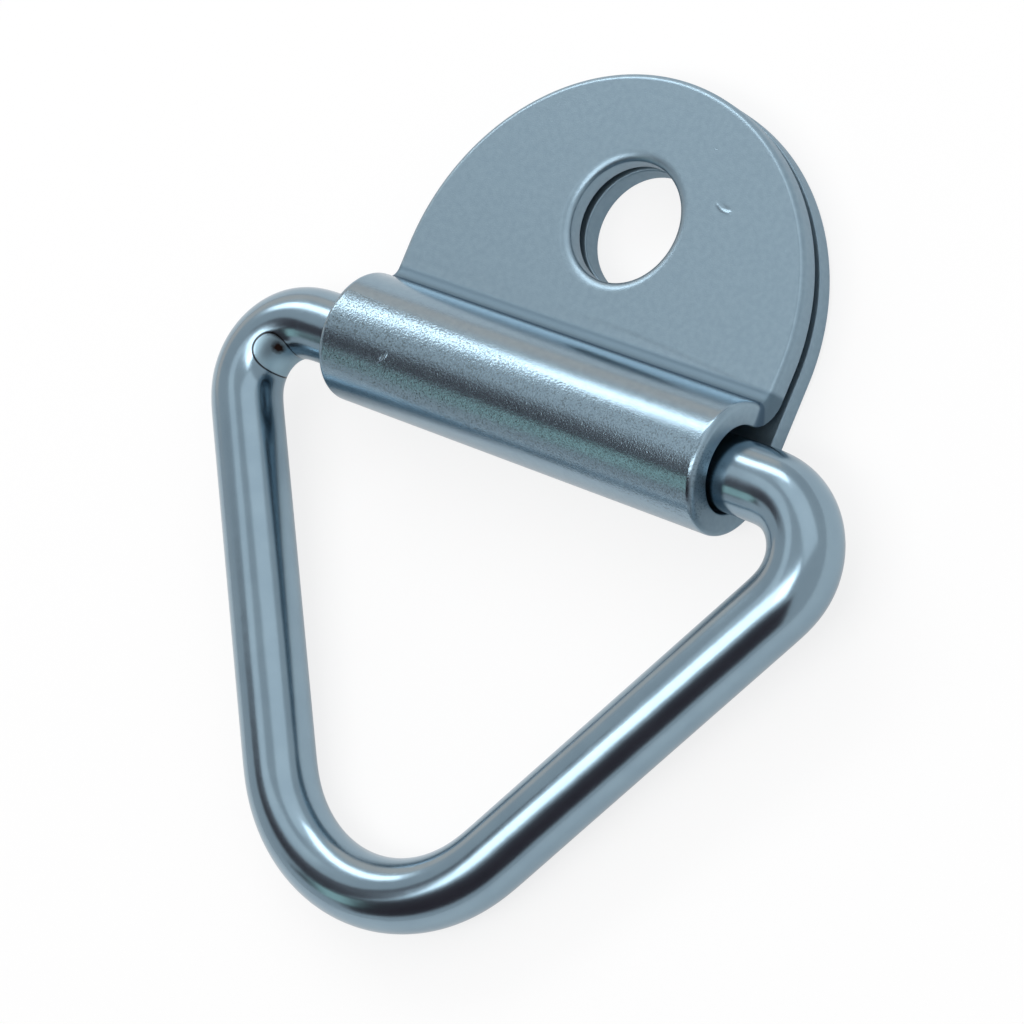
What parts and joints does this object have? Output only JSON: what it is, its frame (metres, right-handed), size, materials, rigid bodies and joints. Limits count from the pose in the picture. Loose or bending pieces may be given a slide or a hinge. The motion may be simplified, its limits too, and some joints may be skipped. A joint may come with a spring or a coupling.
{
  "type": "lashing ring",
  "caption": "Lashing ring: a triangular ring of round bar that swings in a folded steel strap plate with a bolt hole.",
  "frame": {"origin": "centre of the bolt hole on the rear face of the strap plate, the face that bears on the vehicle", "axes": "+Z out of the mounting surface along the bolt hole, X along the fold that holds the ring, -Y towards the ring as it lies on the surface"},
  "size_m": [0.0842, 0.0962, 0.0145],
  "materials": {
    "plated_sheet": "satin blue-white zinc plating",
    "plated_bar": "bright blue-white zinc plating"
  },
  "bodies": {
    "plate": {"folded_strap_plate": "plated_sheet"},
    "ring": {"triangle_ring": "plated_bar"}
  },
  "joints": [
    {"name": "ring_swing", "type": "hinge", "parent": "plate", "child": "ring", "pos_m": [0, -0.02145, 0.00725], "axis": [-1, 0, 0], "range_deg": [0, 186.8]}
  ]
}
